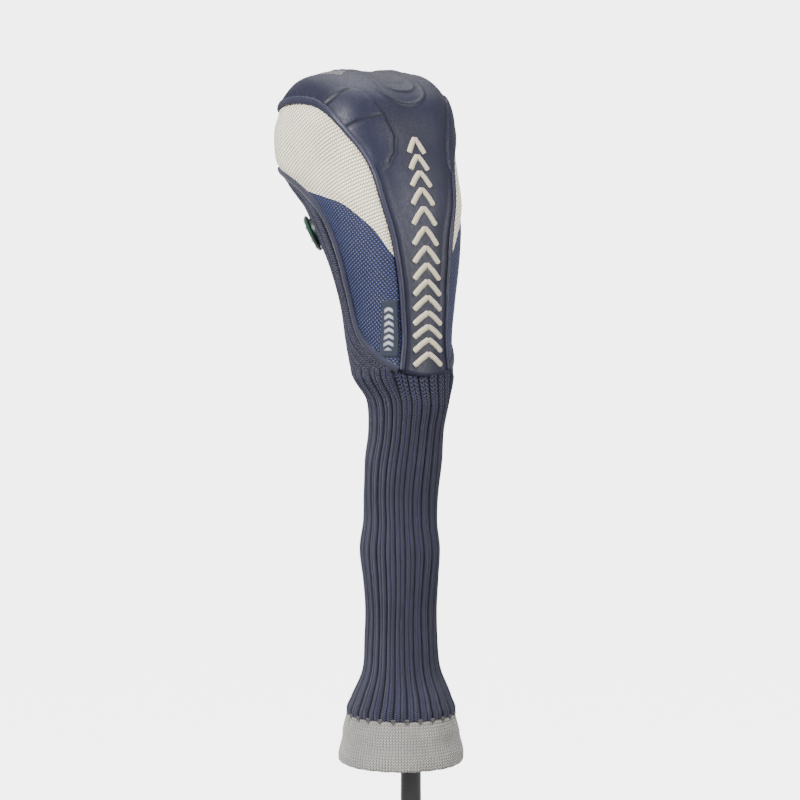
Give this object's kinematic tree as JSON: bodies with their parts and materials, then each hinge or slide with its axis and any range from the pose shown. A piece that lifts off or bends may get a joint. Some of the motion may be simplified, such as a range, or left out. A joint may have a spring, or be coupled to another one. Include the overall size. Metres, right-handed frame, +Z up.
{
  "type": "fairway wood",
  "caption": "Right-handed fairway wood with a rubber grip and tapered black shaft, standing head up under a padded head cover with a long ribbed knit sock.",
  "frame": {"origin": "centre of the flat end of the grip, in the mouth of its vent hole", "axes": "+Z up the shaft axis to the head, -X the way the toe points, +X the side of the cover's spine, +Y the side of the club face"},
  "size_m": [0.1173, 0.088, 1.1515],
  "materials": {
    "grip_rubber": "matt, moulded pattern",
    "tape": "matt paper tape",
    "shaft_graphite": "gloss clear coat over carbon fibre",
    "plug": "matt",
    "ferrule": "polished",
    "face_steel": "satin, brushed",
    "crown_paint": "gloss paint",
    "weight_metal": "turned",
    "head_casting": "satin",
    "moulded_skin": "smooth synthetic leather, soft sheen",
    "foam": "soft foam",
    "piping": "fine weave over cord",
    "binding": "smooth, soft sheen",
    "light_mesh": "fine ribbed weave",
    "blue_nylon": "basket weave with a slight sheen",
    "lining": "fleece",
    "label": "woven satin",
    "thread": "satin stitch",
    "navy_knit": "ribbed knit",
    "grey_knit": "fine ribbed knit",
    "elastic": "covered elastic",
    "dial_base": "matt",
    "dial_rivet": "polished",
    "dial_disc": "high gloss"
  },
  "bodies": {
    "club": {"grip_end_cap": "grip_rubber", "grip_sleeve": "grip_rubber", "grip_tape": "tape", "shaft": "shaft_graphite", "shaft_tip_plug": "plug", "ferrule": "ferrule", "head_body": "head_casting", "face_plate": "face_steel", "crown_plate": "crown_paint", "sole_weight": "weight_metal"},
    "cover": {"top_panel": "moulded_skin", "top_panel_foam": "foam", "top_piping": "piping", "mouth_binding": "binding", "light_panel_left": "light_mesh", "light_panel_right": "light_mesh", "blue_panel_left": "blue_nylon", "blue_panel_right": "blue_nylon", "hood_lining": "lining", "side_label": "label", "embroidery": "thread", "knit_gusset": "navy_knit", "knit_sock": "navy_knit", "knit_cuff": "grey_knit", "neck_elastic": "elastic", "dial_base": "dial_base", "dial_rivet": "dial_rivet"},
    "dial": {"dial_disc": "dial_disc"}
  },
  "joints": [
    {"name": "cover_slide", "type": "slide", "parent": "club", "child": "cover", "axis": [0, 0, 1], "range_m": [0, 0.42], "deforming": ["top_panel", "top_panel_foam", "top_piping", "mouth_binding", "light_panel_left", "light_panel_right", "blue_panel_left", "blue_panel_right", "hood_lining", "side_label", "embroidery", "knit_gusset", "knit_sock", "knit_cuff", "neck_elastic"]},
    {"name": "dial_turn", "type": "hinge", "parent": "cover", "child": "dial", "pos_m": [-0.04017, -0.03502, 1.06013], "axis": [-0.574, -0.6973, -0.4293], "continuous": true}
  ]
}
